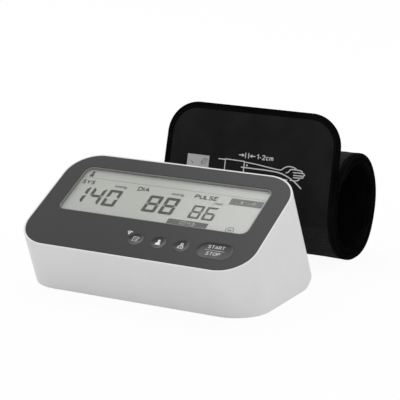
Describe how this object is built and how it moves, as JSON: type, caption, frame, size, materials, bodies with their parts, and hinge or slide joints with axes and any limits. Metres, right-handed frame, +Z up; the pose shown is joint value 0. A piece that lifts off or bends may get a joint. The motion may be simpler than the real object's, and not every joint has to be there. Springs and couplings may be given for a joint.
{
  "type": "blood pressure monitor",
  "caption": "Table-top upper-arm blood pressure monitor: sloping display with press buttons, a battery bay in the base and a preformed roll-up arm cuff.",
  "frame": {"origin": "on the table, in the middle of the set's footprint", "axes": "+X across the monitor to the viewer's right, +Y from the display's front edge to the cuff behind, +Z up"},
  "size_m": [0.191, 0.2394, 0.1187],
  "materials": {
    "white_plastic": "satin",
    "dark_plastic": "satin",
    "grey_plastic": "satin",
    "display_glass": "clear",
    "lcd": "satin",
    "circuit_board": "satin",
    "black_component": "matte",
    "steel": "satin",
    "cell_can": "satin",
    "motor_can": "satin",
    "rubber": "matte",
    "foam": "matte",
    "smooth_fabric": "matte",
    "loop_fabric": "rough",
    "cuff_lining": "matte",
    "curler_plastic": "satin"
  },
  "bodies": {
    "monitor": {"housing": "white_plastic", "front_panel": "dark_plastic", "panel_gasket": "foam", "display_frame": "grey_plastic", "display_lens": "display_glass", "lcd_glass": "lcd", "lcd_holder": "white_plastic", "lcd_connector": "rubber", "button_guide": "white_plastic", "tact_switches": "black_component", "main_board": "circuit_board", "board_screws": "steel", "control_chips": "black_component", "wireless_module": "circuit_board", "buzzer": "black_component", "bottom_cover": "white_plastic", "feet": "rubber", "case_screws": "steel", "battery_cells": "cell_can", "battery_contacts": "steel", "battery_springs": "steel", "pump_motor": "motor_can", "pump_head": "black_component", "pump_cradle": "white_plastic", "air_manifold": "white_plastic", "release_valve": "black_component", "pressure_sensor": "black_component", "sensor_board": "circuit_board", "air_hoses": "rubber", "air_jack": "grey_plastic", "power_jack": "black_component"},
    "battery_door": {"battery_door": "white_plastic"},
    "cuff": {"cuff_outer_cover": "smooth_fabric", "cuff_loop_panel": "loop_fabric", "cuff_curler": "curler_plastic", "cuff_bladder": "rubber", "cuff_inner_cover": "cuff_lining", "cuff_edge_binding": "smooth_fabric", "cuff_air_port": "black_component"},
    "flap": {"flap_cover": "smooth_fabric", "flap_core": "curler_plastic", "flap_lining": "foam", "flap_hook_patch": "loop_fabric", "flap_binding": "smooth_fabric"},
    "memory_button": {"memory_button": "dark_plastic"},
    "user_one_button": {"user_one_button": "dark_plastic"},
    "user_two_button": {"user_two_button": "dark_plastic"},
    "start_button": {"start_button": "dark_plastic"}
  },
  "joints": [
    {"name": "memory_press", "type": "slide", "parent": "monitor", "child": "memory_button", "axis": [0, 0.454, -0.891], "range_m": [0, 0.0009], "stiffness_N_per_m": 1200, "springref_m": -0.0006},
    {"name": "user_one_press", "type": "slide", "parent": "monitor", "child": "user_one_button", "axis": [0, 0.454, -0.891], "range_m": [0, 0.0009], "stiffness_N_per_m": 1200, "springref_m": -0.0006},
    {"name": "user_two_press", "type": "slide", "parent": "monitor", "child": "user_two_button", "axis": [0, 0.454, -0.891], "range_m": [0, 0.0009], "stiffness_N_per_m": 1200, "springref_m": -0.0006},
    {"name": "start_press", "type": "slide", "parent": "monitor", "child": "start_button", "axis": [0, 0.454, -0.891], "range_m": [0, 0.0009], "stiffness_N_per_m": 1200, "springref_m": -0.0006},
    {"name": "battery_door_hinge", "type": "hinge", "parent": "monitor", "child": "battery_door", "pos_m": [0, -0.04305, 0.0015], "axis": [1, 0, 0], "range_deg": [0, 85]},
    {"name": "cuff_set_apart", "type": "slide", "parent": "monitor", "child": "cuff", "axis": [0, 1, 0], "range_m": [0, 0.25]},
    {"name": "flap_fold", "type": "hinge", "parent": "cuff", "child": "flap", "pos_m": [0, 0.03464, 0.05202], "axis": [1, 0, 0], "range_deg": [0, 45]}
  ]
}
